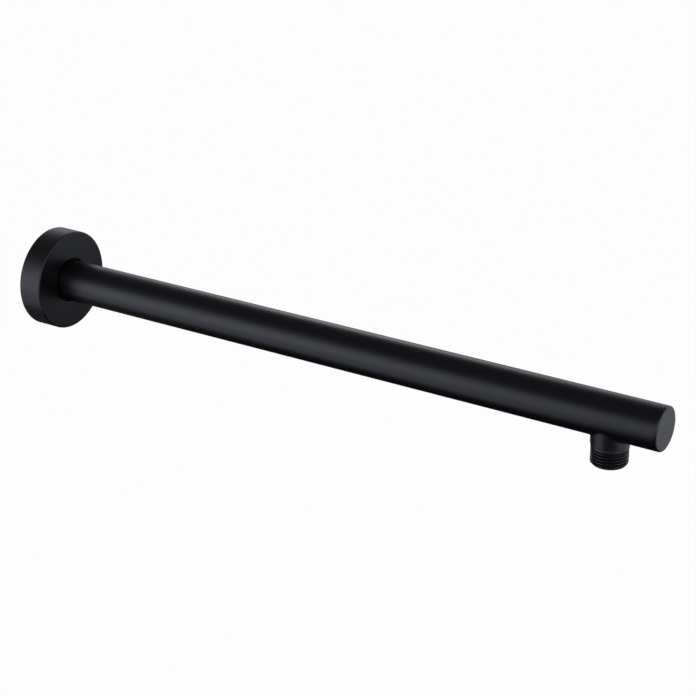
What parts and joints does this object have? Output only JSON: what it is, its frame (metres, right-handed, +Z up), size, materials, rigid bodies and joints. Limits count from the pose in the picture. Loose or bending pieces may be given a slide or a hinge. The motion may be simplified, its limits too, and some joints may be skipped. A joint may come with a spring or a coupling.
{
  "type": "shower arm",
  "caption": "Straight wall-mounted shower arm: round tube with a capped end, a threaded outlet pointing down and a round cover plate that slides on the tube to the wall.",
  "frame": {"origin": "on the arm's axis in the wall plane, where the inlet's shoulder meets the wall fitting", "axes": "+X along the arm away from the wall, +Z up, the outlet points along -Z"},
  "size_m": [0.4365, 0.062, 0.062],
  "materials": {
    "black_coat": "matt black powder coat",
    "seal_rubber": "plain moulded rubber"
  },
  "bodies": {
    "arm": {"arm_tube": "black_coat", "end_cap": "black_coat", "outlet_spigot": "black_coat", "inlet_nipple": "black_coat"},
    "seal": {"seal_ring": "seal_rubber"},
    "cover": {"cover_plate": "black_coat"}
  },
  "joints": [
    {"name": "cover_slide", "type": "slide", "parent": "arm", "child": "seal", "axis": [1, 0, 0], "range_m": [0, 0.362]},
    {"name": "cover_turn", "type": "hinge", "parent": "seal", "child": "cover", "pos_m": [0.01075, 0, 0], "axis": [1, 0, 0], "continuous": true}
  ]
}
